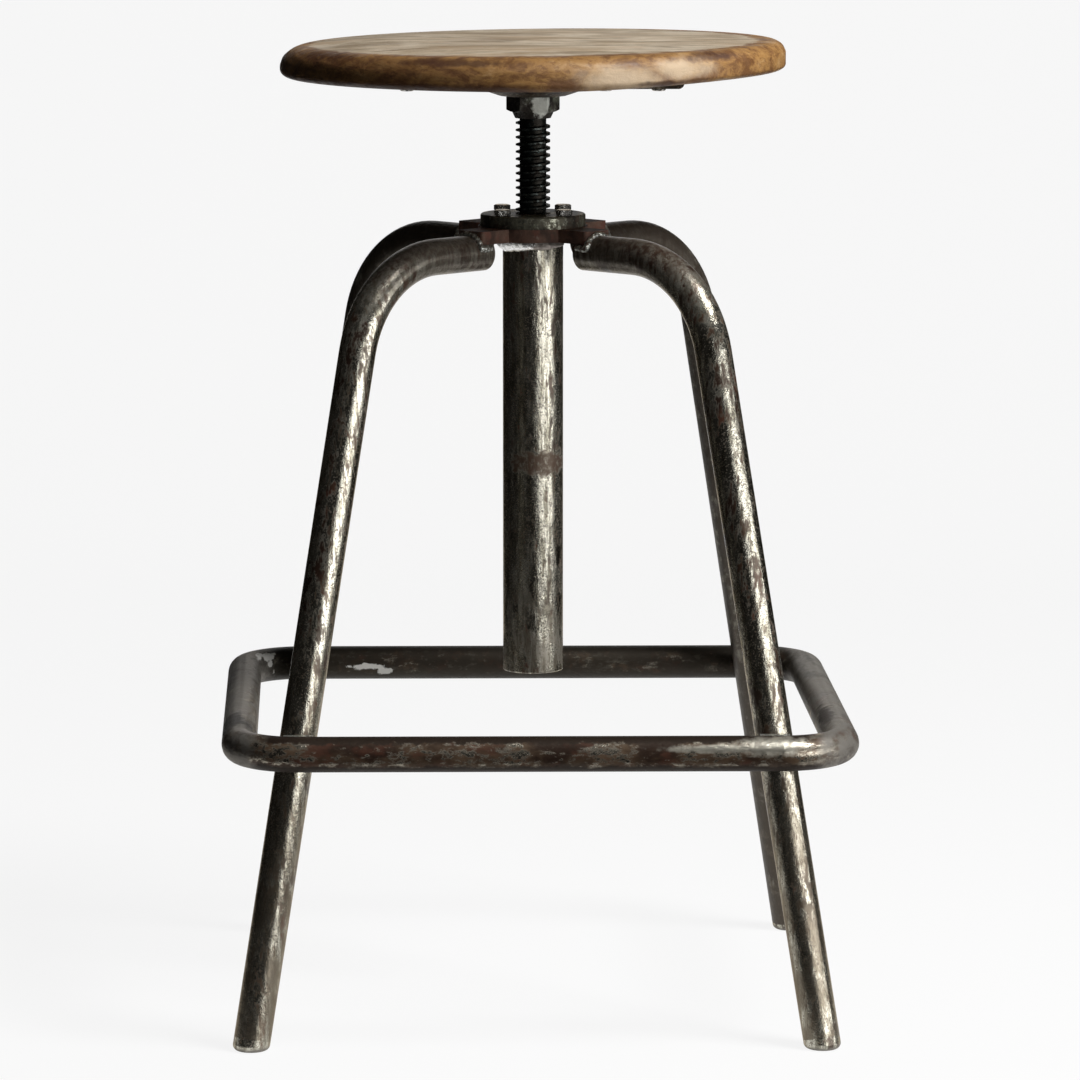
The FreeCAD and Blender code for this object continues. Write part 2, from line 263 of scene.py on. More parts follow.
tubeFinish = {
    "dark": (0.024, 0.013, 0.009),
    "skin": (0.085, 0.048, 0.029),
    "warm": (0.085, 0.034, 0.022),
    "metal": (0.25, 0.235, 0.185),
    "bright": (0.52, 0.50, 0.425),
    "warmth": 0.6,
    "wear": 0.92,
    "pitting": 0.8,
    "cloud": 0.020,
    "grime": 0.0048,
    "pit": 0.0014,
    "drawn": (1.0, 1.0, 0.45),
    "rubbed": (1.0, 1.0, 0.12),
    "skinMetal": 0.0,
    "rough": (0.19, 0.27),
    "ior": 1.9,
    "edgeTint": (0.66, 0.58, 0.48),
    "relief": (0.0008, 0.00040, 0.00008),
}

# The first four entries place painted shade, the last two floor dirt
legDirtAndShade = {
    "shadeHeights": (0.478, 0.535),
    "shadeAmount": 0.82,
    "rearDepths": (0.015, 0.060),
    "rearAmounts": (0.55, 0.92),
    "footHeights": (0.06, 0.30),
    "footAmount": 0.92,
}


def underSeatShade(tree, place):
    # Painted shade: the arms under the seat are painted black towards the plate
    height = ragged(tree, place, along(tree, place, "Z"), 0.016, 0.060, 5, 0.62)
    return between(tree, height, *legDirtAndShade["shadeHeights"], 0.0, legDirtAndShade["shadeAmount"])


def rearShade(tree, place):
    # Painted shade: the rear legs and the rear rail are painted darker than the front, in patches
    patchMask = patches(tree, place, 0.009, 5, 0.65, 0.34, 0.50, *legDirtAndShade["rearAmounts"])
    return calc(tree, "MULTIPLY", patchMask, between(tree, along(tree, place, "Y"), *legDirtAndShade["rearDepths"]))


def footGrime(tree, place):
    # Floor dirt lies in patches on the lowest part of the legs
    patchMask = patches(tree, stretched(tree, place, (1.0, 1.0, 0.4)), 0.012, 6, 0.66, 0.30, 0.58)
    low = between(tree, along(tree, place, "Z"), *legDirtAndShade["footHeights"], legDirtAndShade["footAmount"], 0.0)
    return calc(tree, "MULTIPLY", patchMask, low)


# The first and last marks are painted shade, under the seat and at the back; the middle one is floor dirt
legMarks = [
    (underSeatShade, (0.026, 0.014, 0.010), 0.0, 0.36),
    (footGrime, (0.150, 0.126, 0.094), 0.8, 0.24),
    (rearShade, (0.020, 0.014, 0.010), 0.0, 0.45),
]
legSteel = agedSteel("legSteel", tubeFinish, legMarks)
for place in corners:
    wear(legSteel, "leg_" + place)

columnWear = {
    "rust": ((0.006, -0.016, 0.3765), (0.022, 0.014, 0.0085)),
    "rustAmounts": (0.45, 0.95),
    "dirtHeights": (0.235, 0.33),
    "dirtAmounts": (0.5, 0.10),
}


def rustBand(tree, place):
    # A broken band of rust half way down the column's front
    band = spot(tree, place, *columnWear["rust"], 0.5, 0.007, 0.25)
    broken = patches(tree, place, 0.004, 5, 0.65, 0.36, 0.52, *columnWear["rustAmounts"])
    return calc(tree, "MULTIPLY", band, broken)


def columnDirt(tree, place):
    # The column gets dirtier towards its lower end, in patches
    patchMask = patches(tree, stretched(tree, place, (1.0, 1.0, 0.5)), 0.008, 5, 0.62, 0.42, 0.56)
    low = between(tree, along(tree, place, "Z"), *columnWear["dirtHeights"], *columnWear["dirtAmounts"])
    return calc(tree, "MULTIPLY", patchMask, low)


columnSteel = agedSteel("columnSteel", dict(tubeFinish, wear=1.1), [
    (columnDirt, (0.040, 0.024, 0.016), 0.0, 0.38),
    (rustBand, (0.060, 0.029, 0.017), 0.0, 0.45),
])
wear(columnSteel, "column_tube")

# Positions for the ring's marks: paint, stains and rubs are real, the side entries place wear with a painted
# sheen, and the top and under entries place painted shade
ringWearShadeAndSheen = {
    "paint": [
        ((-0.118, 0.1745, 0.200), (0.012, 0.012, 0.0022)),
        ((-0.106, 0.1745, 0.1965), (0.005, 0.012, 0.0030)),
        ((-0.199, 0.163, 0.209), (0.004, 0.012, 0.003)),
        ((-0.190, 0.165, 0.209), (0.005, 0.010, 0.0025)),
        ((-0.189, 0.158, 0.204), (0.002, 0.010, 0.003)),
        ((-0.186, 0.158, 0.196), (0.0016, 0.010, 0.004)),
    ],
    "stains": [
        ((0.196, -0.092, 0.212), (0.008, 0.038, 0.006)),
        ((-0.208, -0.120, 0.210), (0.010, 0.030, 0.008)),
    ],
    "rubs": [
        ((0.158, -0.1945, 0.2070), (0.020, 0.012, 0.0050)),
        ((0.120, -0.1945, 0.2060), (0.028, 0.012, 0.0022)),
    ],
    "sideReach": (0.186, 0.196),
    "sideAmounts": (0.30, 0.95),
    "topHeights": (0.2085, 0.2105),
    "topReach": (0.178, 0.192),
    "underHeights": (0.1930, 0.1965),
}


def ringPaint(tree, place):
    # White splashes on the back rail and on the left rear corner
    return spots(tree, place, ringWearShadeAndSheen["paint"], 0.5, 0.004)


def railStains(tree, place):
    # A dark stain on each side rail
    return spots(tree, place, ringWearShadeAndSheen["stains"], 0.5, 0.010, 0.3)


def ringRubs(tree, place):
    # The front rail is rubbed bright beside the right leg
    return spots(tree, place, ringWearShadeAndSheen["rubs"], 0.4, 0.006, 0.6)


def sideRailWearAndSheen(tree, place):
    # The two side rails are paler and more matt than the rest of the ring, in patches: partly wear, partly a
    # painted sheen for the light reflected off their tops
    across = ragged(tree, place, calc(tree, "ABSOLUTE", along(tree, place, "X")), 0.010, 0.016)
    pale = patches(tree, stretched(tree, place, (1.0, 0.4, 1.0)), 0.010, 6, 0.68, 0.36, 0.56,
                   *ringWearShadeAndSheen["sideAmounts"])
    return calc(tree, "MULTIPLY", between(tree, across, *ringWearShadeAndSheen["sideReach"]), pale)


def railShade(tree, place):
    # Painted shade: the tops of the front and back rails and all undersides are painted dark
    height = ragged(tree, place, along(tree, place, "Z"), 0.008, 0.008)
    across = calc(tree, "ABSOLUTE", along(tree, place, "X"))
    top = calc(tree, "MULTIPLY", between(tree, height, *ringWearShadeAndSheen["topHeights"]),
               between(tree, across, *ringWearShadeAndSheen["topReach"], 1.0, 0.0))
    return calc(tree, "MAXIMUM", top, between(tree, height, *ringWearShadeAndSheen["underHeights"], 1.0, 0.0))


ringFinish = dict(
    tubeFinish, skin=(0.11, 0.073, 0.046), metal=(0.22, 0.195, 0.155), bright=(0.42, 0.38, 0.31),
    drawn=(0.6, 0.6, 1.0), rubbed=(0.25, 0.25, 1.0), wear=0.55, rough=(0.25, 0.36), ior=1.45,
)
# In the marks below, the first two are painted shade and the third is wear with a painted sheen
ringSteel = agedSteel("ringSteel", ringFinish, [
    (railShade, (0.016, 0.009, 0.006), 0.0, 0.6),
    (rearShade, (0.020, 0.017, 0.013), 0.0, 0.50),
    (sideRailWearAndSheen, (0.23, 0.217, 0.195), 0.35, 0.50),
    (railStains, (0.040, 0.030, 0.024), 0.1, 0.5),
    (ringRubs, (0.62, 0.59, 0.50), 1.0, 0.30),
    (ringPaint, (0.72, 0.71, 0.67), 0.0, 0.6),
])
wear(ringSteel, "foot_ring")

soleHeights = (0.003, 0.006)


def soleRub(tree, place):
    # The closed tube ends are rubbed pale where they stand on the floor
    rise = calc(tree, "MULTIPLY", noise(tree, place, 0.006, 3), 0.004)
    return between(tree, calc(tree, "ADD", along(tree, place, "Z"), rise), *soleHeights, 1.0, 0.0)


plugSteel = agedSteel("plugSteel", tubeFinish, [(soleRub, (0.20, 0.19, 0.17), 0.5, 0.6)])
for place in corners:
    wear(plugSteel, "foot_plug_" + place)
print("tubes and feet finished")


flangeFinish = dict(
    tubeFinish, dark=(0.012, 0.010, 0.009), skin=(0.10, 0.098, 0.072), warm=(0.06, 0.034, 0.022),
    metal=(0.16, 0.16, 0.12), bright=(0.26, 0.26, 0.21), cloud=0.012, grime=0.004, drawn=(1.0, 1.0, 1.0),
    rubbed=(1.0, 1.0, 1.0), wear=0.45, rough=(0.36, 0.50), ior=1.5,
)
wear(agedSteel("flangeSteel", flangeFinish), "thread_flange")

plateFinish = dict(
    flangeFinish, dark=(0.050, 0.028, 0.022), skin=(0.13, 0.072, 0.052), warm=(0.12, 0.050, 0.036),
    metal=(0.16, 0.11, 0.09), bright=(0.20, 0.15, 0.12), warmth=1.0, wear=0.15, rough=(0.5, 0.62),
)
wear(agedSteel("plateSteel", plateFinish), "cross_plate")

boltFinish = dict(
    flangeFinish, skin=(0.16, 0.155, 0.14), metal=(0.50, 0.49, 0.46), bright=(0.85, 0.84, 0.80),
    wear=1.0, rough=(0.25, 0.42),
)
wear(agedSteel("boltSteel", boltFinish), "flange_bolts", "seat_screws")

nutFinish = dict(
    flangeFinish, dark=(0.010, 0.008, 0.008), skin=(0.11, 0.115, 0.085), warm=(0.035, 0.022, 0.024),
    metal=(0.24, 0.245, 0.20), bright=(0.50, 0.50, 0.45), wear=0.35, cloud=0.010,
)
# Positions for the nut's marks: a real paint smear, and painted shade on its left side and under it
nutWearAndShade = {
    "paint": ((0.0052, -0.016, 0.6235), (0.0058, 0.012, 0.0085)),
    "shadeSide": (-0.007, -0.002),
    "shadeHeights": (0.6175, 0.6205),
}


def nutPaint(tree, place):
    # A pale smear down one flat and over the collar below it
    return spot(tree, place, *nutWearAndShade["paint"], 0.4, 0.003, 0.25)


def nutShade(tree, place):
    # Painted shade: the nut's left side, away from the light, and the collar under it are painted black
    side = ragged(tree, place, along(tree, place, "X"), 0.004, 0.012, 4, 0.6)
    height = ragged(tree, place, along(tree, place, "Z"), 0.004, 0.012, 4, 0.6)
    left = between(tree, side, *nutWearAndShade["shadeSide"], 0.85, 0.0)
    return calc(tree, "MAXIMUM", left, between(tree, height, *nutWearAndShade["shadeHeights"], 0.9, 0.0))


# The first mark is painted shade, the second a real paint smear
nutSteel = agedSteel("nutSteel", nutFinish, [
    (nutShade, (0.012, 0.009, 0.009), 0.0, 0.5),
    (nutPaint, (0.66, 0.67, 0.61), 0.2, 0.45),
])
wear(nutSteel, "seat_nut")

strapFinish = dict(flangeFinish, skin=(0.075, 0.052, 0.034), bright=(0.22, 0.19, 0.15), rough=(0.4, 0.6))
wear(agedSteel("strapSteel", strapFinish), "seat_strap", "dish_washer")

crestRadii = (0.0112, 0.0119)


def crestRub(tree, place):
    # The screw is rubbed brighter on its crests, in patches
    crests = between(tree, fromAxis(tree, place), *crestRadii)
    return calc(tree, "MULTIPLY", crests, patches(tree, place, 0.004, 3, 0.55, 0.45, 0.6))


screwFinish = dict(
    flangeFinish, dark=(0.0012, 0.0015, 0.0015), skin=(0.0030, 0.0048, 0.0048), warm=(0.0016, 0.0030, 0.0030),
    metal=(0.018, 0.027, 0.026), bright=(0.045, 0.060, 0.057), wear=0.3, rough=(0.30, 0.42), cloud=0.008,
    ior=1.35,
)
wear(agedSteel("screwSteel", screwFinish, [(crestRub, (0.07, 0.08, 0.075), 0.9, 0.4)]), "lift_screw")

hiddenFinish = dict(flangeFinish, metal=(0.3, 0.3, 0.29), bright=(0.5, 0.5, 0.48), wear=0.9)
wear(agedSteel("hiddenSteel", hiddenFinish), "guide_washer", "guide_nut", "lock_pin")

bronzeFinish = dict(
    flangeFinish, dark=(0.06, 0.035, 0.015), skin=(0.20, 0.12, 0.05), warm=(0.16, 0.08, 0.03),
    metal=(0.45, 0.30, 0.13), bright=(0.70, 0.50, 0.25), wear=0.9,
)
wear(agedSteel("guideBronze", bronzeFinish), "guide_bush")
print("hub, nut and screw finished")


def newPiece(name, points, faces):
    mesh = bpy.data.meshes.new(name)
    mesh.from_pydata(points.tolist(), [], faces)
    mesh.update()
    mesh.polygons.foreach_set("use_smooth", np.ones(len(mesh.polygons), bool))
    piece = bpy.data.objects.new(name, mesh)
    scene.collection.objects.link(piece)
    return piece


def closedGrid(name, rings, capped):
    # rings: (n, m, 3) points; the m direction closes on itself. With capped, the first and last
    # rings are single points and become poles, otherwise the n direction closes as well
    n, m = rings.shape[:2]
    if capped:
        points = np.concatenate([rings[0, :1], rings[1:-1].reshape(-1, 3), rings[-1, :1]])
        inner = n - 2
    else:
        points = rings.reshape(-1, 3)
        inner = n
    base = 1 if capped else 0
    i = np.arange(inner - 1 if capped else inner)[:, None]
    j = np.arange(m)[None, :]
    nextRow = (i + 1) % inner
    nextCol = (j + 1) % m
    quads = np.stack(np.broadcast_arrays(
        base + i * m + j, base + i * m + nextCol, base + nextRow * m + nextCol, base + nextRow * m + j), -1)
    faces = quads.reshape(-1, 4).tolist()
    if capped:
        j = np.arange(m)
        last = len(points) - 1
        start = np.stack([np.zeros(m, int), 1 + (j + 1) % m, 1 + j], -1)
        end = np.stack([np.full(m, last), 1 + (inner - 1) * m + j, 1 + (inner - 1) * m + (j + 1) % m], -1)
        faces += start.tolist() + end.tolist()
    return newPiece(name, points, faces)


def smoothStep(value, low, high):
    # 0 below low, 1 above high, and 3 t squared less 2 t cubed between them
    t = np.clip((value - low) / (high - low), 0, 1)
    return t * t * (3 - 2 * t)


def ripple(angle, waves):
    # The sum of share times the sine of count times the angle plus phase
    return sum(share * np.sin(count * angle + phase) for count, share, phase in waves)


seatShape = {
    "around": 288,
    "topRounding": 0.0142,
    "roundingSway": 0.0044,
    "bottomRounding": 0.006,
    "recessRadius": 0.015,
    "recessDepth": 0.009,
    "leftDip": 0.0044,
    "dipFrom": 0.55,
    "rightLift": 0.0052,
    "liftFrom": 0.72,
    "rimWander": 0.0006,
    "wanderFrom": 0.5,
    "rimWaves": [(3, 0.22, 0.6), (7, 0.16, 2.1), (13, 0.12, 4.0)],
    "dents": 0.0004,
    "dentsFrom": 0.9,
    "dentCounts": (19, 11),
    "dentSlant": 900,
}


def seatSection(shape, radius, low, high, angle):
    # From the recess's middle, down its wall, out under the board, round the rim and back over the top.
    # The top's rounding is smaller at the right of the board than at its left
    recess, ceiling, bottom = shape["recessRadius"], low + shape["recessDepth"], shape["bottomRounding"]
    top = shape["topRounding"] - shape["roundingSway"] * np.cos(angle)
    turnLow = np.linspace(0, math.pi / 2, 9)[1:, None]
    turnHigh = np.linspace(0, math.pi / 2, 15)[:, None]
    inward = np.linspace(0, 1, 40)[1:, None]
    parts = [
        (np.linspace(0, recess, 5)[:, None], ceiling),
        (recess, np.linspace(ceiling, low, 5)[1:, None]),
        (np.linspace(recess, radius - bottom, 26)[1:, None], low),
        (radius - bottom + bottom * np.sin(turnLow), low + bottom - bottom * np.cos(turnLow)),
        (radius - top + top * np.cos(turnHigh), high - top + top * np.sin(turnHigh)),
        ((radius - top) * (1 - inward), high),
    ]
    rows = np.concatenate([np.stack(np.broadcast_arrays(r, z, angle)[:2], -1) for r, z in parts])
    return rows[..., 0], rows[..., 1]


def makeSeat(shape):
    # The section is carried once round the axis, then its rim and its edges are pushed about
    low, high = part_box("seat_board")
    radius = (high.x - low.x) / 2
    angle = np.linspace(0, 2 * math.pi, shape["around"], endpoint=False)[None, :]
    r, z = seatSection(shape, radius, low.z, high.z, angle)
    height = (z - low.z) / (high.z - low.z)
    # The rim wanders in by a few waves round the edge, growing from nothing at mid radius
    inward = 0.5 + ripple(angle, shape["rimWaves"])
    r = r - shape["rimWander"] * smoothStep(r, shape["wanderFrom"] * radius, radius) * inward
    x, y = r * np.cos(angle), r * np.sin(angle)
    # The top hangs a little at the left, and the lower edge is worn away at the right
    leftwards = np.clip(0.5 - x / (2 * radius), 0, 1)
    dip = shape["leftDip"] * leftwards * smoothStep(r, shape["dipFrom"] * radius, radius)
    rightwards = smoothStep(x / radius, 0.0, 1.0)
    lift = shape["rightLift"] * rightwards * smoothStep(r, shape["liftFrom"] * radius, radius)
    # Small dents run round the rim: two sines multiplied, strongest half way up the board
    slanting, upright = shape["dentCounts"]
    dents = shape["dents"] * smoothStep(r, shape["dentsFrom"] * radius, radius)
    dents = dents * np.sin(slanting * angle + shape["dentSlant"] * z) * np.sin(upright * angle + 1.3)
    z = z - dip * height ** 1.5 + lift * (1 - height) ** 2 + 4 * dents * height * (1 - height)
    return closedGrid("seatBoard", np.stack([x, y, z], -1), True)


seat = makeSeat(seatShape)

woodFinish = {
    "top": (0.58, 0.46, 0.315),
    "topPale": (0.70, 0.59, 0.44),
    "topGrey": (0.30, 0.22, 0.135),
    "topTan": (0.47, 0.31, 0.165),
    "edge": (0.37, 0.195, 0.062),
    "edgeDark": (0.17, 0.075, 0.024),
    "edgePale": (0.55, 0.34, 0.15),
    "creamHighlight": (0.66, 0.50, 0.33),
    # A dark brown used for real stains and for the painted shade on the edge's left
    "stainAndShade": (0.050, 0.016, 0.009),
    "wornHighlightSpots": [
        ((0.058, -0.166, 0.652), (0.026, 0.030, 0.0075)),
        ((0.098, -0.146, 0.657), (0.020, 0.030, 0.006)),
    ],
    "stains": [
        ((0.120, -0.135, 0.664), (0.022, 0.030, 0.0030)),
        ((-0.150, -0.090, 0.664), (0.030, 0.040, 0.0035)),
        ((-0.060, -0.165, 0.662), (0.040, 0.030, 0.0022)),
        ((0.084, -0.152, 0.6475), (0.014, 0.020, 0.0022)),
    ],
    "rimRadii": (0.1510, 0.1580),
    "lineRadius": 0.1570,
    "lineWidths": (0.0012, 0.0050),
    "lowHeights": (0.6475, 0.6535),
    "lowLeftReach": (-0.03, 0.02),
    "leftRadii": (0.1590, 0.1700),
    "leftReach": (-0.110, 0.020),
    "rough": (0.42, 0.66),
}


def agedWood(name, finish):
    # The grain of the top runs along X, and the edge is stained in blotches
    material, tree, shader = newMaterial(name)
    place = objectPlace(tree)
    x = along(tree, place, "X")
    fibres = noise(tree, stretched(tree, place, (0.16, 1.0, 1.0)), 0.0055, 6, 0.66)
    growth = noise(tree, stretched(tree, place, (0.22, 1.0, 1.0), (0.4, 0.2, 0.1)), 0.024, 5, 0.58, 0.4)
    cloud = noise(tree, place, 0.055, 4, 0.55)

    top = blend(tree, between(tree, growth, 0.36, 0.62), finish["topGrey"], finish["top"])
    top = blend(tree, between(tree, cloud, 0.42, 0.66), top, finish["topPale"])
    top = blend(tree, between(tree, fibres, 0.34, 0.52, 0.85, 0.0), top, finish["topGrey"])
    tanPlace = stretched(tree, place, (0.5, 1.0, 1.0), (0.7, 0.3, 0.9))
    tan = patches(tree, tanPlace, 0.045, 5, 0.62, 0.50, 0.66, 0.0, 0.5)
    top = blend(tree, tan, top, finish["topTan"])

    mottle = noise(tree, stretched(tree, place, (1.0, 1.0, 1.9)), 0.020, 6, 0.66, 0.4)
    flecks = noise(tree, stretched(tree, place, (1.0, 1.0, 1.6), (0.2, 0.6, 0.3)), 0.0055, 5, 0.65)
    edge = blend(tree, between(tree, mottle, 0.38, 0.56), finish["edgeDark"], finish["edge"])
    edge = blend(tree, between(tree, flecks, 0.38, 0.50, 0.6, 0.0), edge, finish["edgeDark"])
    edge = blend(tree, between(tree, mottle, 0.56, 0.70, 0.0, 0.6), edge, finish["edgePale"])
    # Pale cream patches on the front right of the edge: worn wood with a painted highlight
    wornHighlight = spots(tree, place, finish["wornHighlightSpots"], 0.4, 0.014, 0.7)
    edge = blend(tree, calc(tree, "MULTIPLY", wornHighlight, 0.9), edge, finish["creamHighlight"])
    stained = spots(tree, place, finish["stains"], 0.5, 0.008, 0.5)
    edge = blend(tree, calc(tree, "MULTIPLY", stained, 0.75), edge, finish["stainAndShade"])

    # The edge's stain starts where the top begins to round over, with a broken darker line
    rim = ragged(tree, place, fromAxis(tree, place), 0.014, 0.018, 5, 0.62)
    colour = blend(tree, between(tree, rim, *finish["rimRadii"]), top, edge)
    offLine = calc(tree, "ABSOLUTE", calc(tree, "SUBTRACT", rim, finish["lineRadius"]))
    line = between(tree, offLine, *finish["lineWidths"], 0.75, 0.0)
    line = calc(tree, "MULTIPLY", line, patches(tree, place, 0.030, 4, 0.6, 0.42, 0.56))
    colour = blend(tree, line, colour, finish["edgeDark"])

    # Painted shade: the lower part of the edge is dark on its left half, and the whole edge darkens towards
    # the left, away from the light
    rise = calc(tree, "MULTIPLY", noise(tree, place, 0.012, 4), 0.005)
    low = between(tree, calc(tree, "ADD", along(tree, place, "Z"), rise), *finish["lowHeights"], 1.0, 0.0)
    lowLeft = calc(tree, "MULTIPLY", low, between(tree, x, *finish["lowLeftReach"], 0.85, 0.0))
    left = calc(tree, "MULTIPLY", between(tree, rim, *finish["leftRadii"]),
                between(tree, x, *finish["leftReach"], 0.45, 0.0))
    colour = blend(tree, calc(tree, "MAXIMUM", lowLeft, left), colour, finish["stainAndShade"])
    put(tree, shader.inputs["Base Color"], colour)
    roughness = between(tree, fibres, 0.3, 0.7, finish["rough"][1], finish["rough"][0])
    put(tree, shader.inputs["Roughness"], roughness)
    bumped(tree, shader, [(mottle, 0.0007), (flecks, 0.0004), (fibres, 0.0002)])
    return material


seat.data.materials.append(agedWood("seatWood", woodFinish))
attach(seat, "seat")
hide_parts("seat_board")
print("seat board made")


def tubeShell(name, path, outward, radius, around):
    # A round tube along a path: each ring lies across the path's direction, turned to the outward direction
    heading = np.gradient(path, axis=0)
    heading /= np.linalg.norm(heading, axis=1, keepdims=True)
    side = np.cross(heading, outward)
    side /= np.linalg.norm(side, axis=1, keepdims=True)
    up = np.cross(side, heading)
    turn = np.linspace(0, 2 * math.pi, around, endpoint=False)[None, :, None]
    rings = path[:, None] + radius[..., None] * (np.cos(turn) * side[:, None] - np.sin(turn) * up[:, None])
    rings[0], rings[-1] = path[0], path[-1]
    return closedGrid(name, rings, True)


hubWeld = {
    "armWidth": 0.024,
    "cornerRounding": 0.0025,
    "tubeRadius": 0.0125,
    "pastTip": 0.0008,
    "offTube": 0.0002,
    "inner": 0.0505,
    "straight": 0.36,
    "wrap": 0.985,
    "radius": 0.0024,
    "rippleLength": 0.0034,
    "rippleShare": 0.20,
    "swayShare": 0.13,
    "lumps": 0.10,
    "lumpSlant": 900,
    "steps": 160,
    "around": 16,
}


def makeHubWeld(name, place, shape):
    # The bead runs along one edge of the plate's arm, over the tube at the arm's tip and back along
    # the other edge. t goes from -1 to 1: the straight share at each end lies along an edge of the arm,
    # and between them the bead leans from one side of the tube to the other
    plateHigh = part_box("cross_plate")[1]
    half = shape["armWidth"] / 2
    tip = math.sqrt(2) * plateHigh.x + shape["cornerRounding"] * (2 - math.sqrt(2)) - half
    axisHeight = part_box("leg_" + place)[1].z - shape["tubeRadius"]
    t = np.linspace(-1, 1, shape["steps"])
    bend = 1 - shape["straight"]
    back = np.clip((np.abs(t) - bend) / shape["straight"], 0, 1)
    reach = tip + shape["pastTip"] - back * (tip - shape["inner"])
    lean = np.clip(t / bend, -1, 1) * math.asin(half / shape["tubeRadius"]) * shape["wrap"]
    sideways = (shape["tubeRadius"] + shape["offTube"]) * np.sin(lean)
    height = axisHeight + (shape["tubeRadius"] + shape["offTube"]) * np.cos(lean)
    toX = 1 if "right" in place else -1
    toY = 1 if "rear" in place else -1
    out = np.array([toX, toY, 0]) / math.sqrt(2)
    across = np.array([-toY, toX, 0]) / math.sqrt(2)
    rise = np.array([0, 0, 1.0])
    path = reach[:, None] * out + sideways[:, None] * across + height[:, None] * rise
    outward = np.sin(lean)[:, None] * across + np.cos(lean)[:, None] * rise
    # Its radius ripples along the bead, sways slowly, tapers at both ends and is lumpy all round
    length = np.cumsum(np.r_[0, np.linalg.norm(np.diff(path, axis=0), axis=1)])
    ripples = np.abs(np.sin(math.pi * length / shape["rippleLength"]))
    sway = np.sin(5 * t + toX + 2 * toY) + 0.6 * np.sin(13 * t + 2.0 * toX)
    swell = 1 - shape["rippleShare"] + shape["rippleShare"] * ripples + shape["swayShare"] * sway
    radius = shape["radius"] * swell * np.sqrt(np.clip(1.02 - t ** 8, 0.02, 1))
    turn = np.linspace(0, 2 * math.pi, shape["around"], endpoint=False)
    lumps = np.sin(3 * turn[None, :] + shape["lumpSlant"] * length[:, None]) * np.sin(2 * turn[None, :] + 2.0)
    return tubeShell(name, path, outward, radius[:, None] * (1 + shape["lumps"] * lumps), shape["around"])


weldFinish = dict(
    flangeFinish, dark=(0.09, 0.085, 0.075), skin=(0.22, 0.22, 0.19), warm=(0.10, 0.055, 0.040),
    metal=(0.42, 0.43, 0.39), bright=(0.70, 0.72, 0.67), warmth=0.9, cloud=0.008, grime=0.003, wear=0.85,
    rough=(0.34, 0.5),
)
weldSteel = agedSteel("weldSteel", weldFinish)
for place in corners:
    bead = makeHubWeld("hubBead_" + place, place, hubWeld)
    bead.data.materials.append(weldSteel)
    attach(bead, "frame")
    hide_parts("hub_weld_" + place)
    wear(weldSteel, "ring_weld_" + place)
print("hub welds made")


columnWeld = {
    "thin": 0.0012,
    "thick": 0.0056,
    "shallow": 0.0058,
    "deep": 0.0085,
    "thickSide": math.radians(195),
    "growth": 1.3,
    "flatness": 1.15,
    "sunk": 0.0005,
    "waves": [(9, 0.03, 0.0), (5, 0.05, 1.0), (23, 0.02, 0.0)],
    "steps": 240,
}


def makeColumnWeld(shape):
    # A ring of weld in the corner of plate and column: its section is an oval with flattened slopes
    # that grows towards one side
    columnLow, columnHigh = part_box("column_tube")
    radius, top = (columnHigh.x - columnLow.x) / 2, columnHigh.z
    angle = np.linspace(0, 2 * math.pi, shape["steps"], endpoint=False)[:, None]
    grown = (0.5 + 0.5 * np.cos(angle - shape["thickSide"])) ** shape["growth"]
    ripples = ripple(angle, shape["waves"])
    width = (shape["thin"] + (shape["thick"] - shape["thin"]) * grown) * (1 + 2 * ripples)
    depth = (shape["shallow"] + (shape["deep"] - shape["shallow"]) * grown) * (0.95 + ripples)
    # Once round the section: down the slope, up inside the column's wall, and out along the plate
    slope = np.linspace(0, math.pi / 2, 18)
    out = np.concatenate([np.cos(slope) ** shape["flatness"], np.zeros(4), np.linspace(0, 1, 5)[:-1]])
    down = np.concatenate([np.sin(slope) ** shape["flatness"], np.linspace(1, 0, 6)[1:-1], np.zeros(4)])
    r = radius - shape["sunk"] + (width + shape["sunk"]) * out[None, :]
    z = top + shape["sunk"] - (depth + shape["sunk"]) * down[None, :]
    points = np.stack([r * np.cos(angle), r * np.sin(angle), z], -1)
    return closedGrid("columnBead", points, False)


pinkReach = (-0.003, 0.004)


def pinkSide(tree, place):
    # The right half of the ring of weld is darker and warmer
    side = ragged(tree, place, along(tree, place, "X"), 0.005, 0.016, 4, 0.6)
    return between(tree, side, *pinkReach)


paleFinish = dict(
    weldFinish, dark=(0.80, 0.80, 0.76), skin=(0.95, 0.95, 0.92), warm=(0.90, 0.88, 0.84),
    metal=(0.93, 0.93, 0.90), bright=(0.98, 0.98, 0.96), wear=1.5, rough=(0.22, 0.35), pitting=0.2,
    edgeTint=(1.0, 1.0, 1.0),
)
columnBead = makeColumnWeld(columnWeld)
paleWeld = agedSteel("paleWeld", paleFinish, [(pinkSide, (0.34, 0.30, 0.27), 0.9, 0.35)])
columnBead.data.materials.append(paleWeld)
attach(columnBead, "frame")
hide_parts("column_weld")
print("column weld made")


stageSet = {
    "width": 1.4,
    "front": -0.31,
    "back": 2.6,
    "height": 2.4,
    "bend": 0.8,
    "colour": (0.93, 0.93, 0.93),
    "glow": 0.88,
}


def mixShader(tree, factor, first, second):
    node = tree.nodes.new("ShaderNodeMixShader")
    put(tree, node.inputs["Fac"], factor)
    tree.links.new(first, node.inputs[1])
    tree.links.new(second, node.inputs[2])
    return node.outputs["Shader"]


